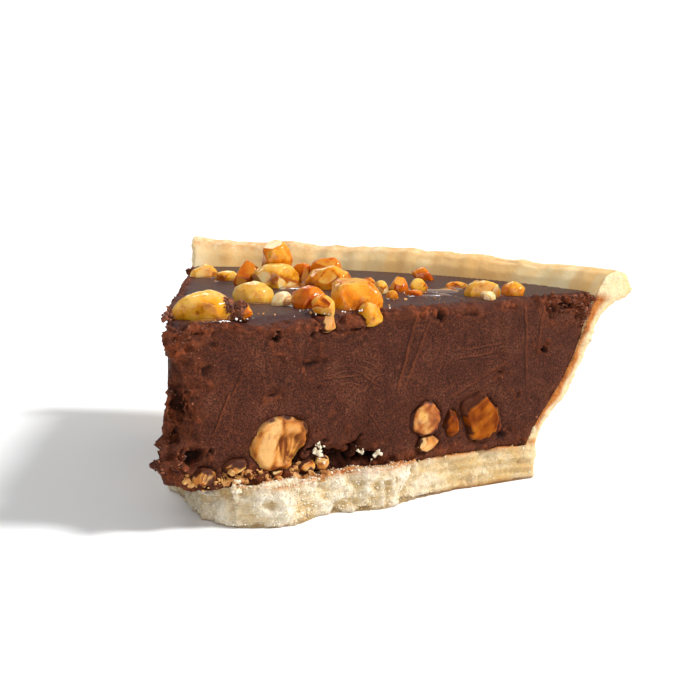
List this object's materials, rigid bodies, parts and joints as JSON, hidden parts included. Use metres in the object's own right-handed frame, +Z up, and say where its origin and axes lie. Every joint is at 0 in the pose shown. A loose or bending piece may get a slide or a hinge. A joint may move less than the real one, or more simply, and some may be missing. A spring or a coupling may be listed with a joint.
{
  "type": "slice of chocolate hazelnut pie",
  "caption": "Wedge of deep pie: a short pastry crust with a raised rim round a set dark chocolate filling, topped and studded with glazed chopped hazelnuts",
  "frame": {"origin": "centre of the slice's bounding box, at the level of the surface it rests on", "axes": "+Z up; +X from the tip along the cut face that the picture shows, towards the rim; that cut face looks towards -Y"},
  "size_m": [0.1156, 0.1044, 0.0497],
  "materials": {
    "pastry": "matt baked short pastry, cream where it is cut and gold outside",
    "chocolate": "satin set chocolate, crumbly at its edges",
    "nut": "chopped hazelnut under a glossy caramel glaze"
  },
  "bodies": {
    "root": {"crust": "pastry", "filling": "chocolate", "nut_amber": "nut", "nut_amber_flat": "nut", "nut_arch": "nut", "nut_arch_chip": "nut", "nut_back_base": "nut", "nut_back_left": "nut", "nut_back_peak": "nut", "nut_back_right": "nut", "nut_back_small": "nut", "nut_cluster_left": "nut", "nut_cluster_middle": "nut", "nut_cluster_right": "nut", "nut_cluster_small": "nut", "nut_corner_flat": "nut", "nut_corner_slice": "nut", "nut_cut_amber": "nut", "nut_cut_bit_a": "nut", "nut_cut_bit_b": "nut", "nut_cut_chip_left": "nut", "nut_cut_chip_middle": "nut", "nut_cut_chip_right": "nut", "nut_cut_edge": "nut", "nut_cut_large": "nut", "nut_cut_skin": "nut", "nut_cut_skin_low": "nut", "nut_cut_sliver": "nut", "nut_edge_chip": "nut", "nut_far_chip": "nut", "nut_far_low": "nut", "nut_far_top": "nut", "nut_film_chip": "nut", "nut_glossy": "nut", "nut_glossy_chip": "nut", "nut_large": "nut", "nut_large_chip": "nut", "nut_middle": "nut", "nut_rear_chip": "nut", "nut_rear_large": "nut", "nut_rear_round": "nut", "nut_tip": "nut", "nut_tip_half": "nut"}
  },
  "joints": []
}
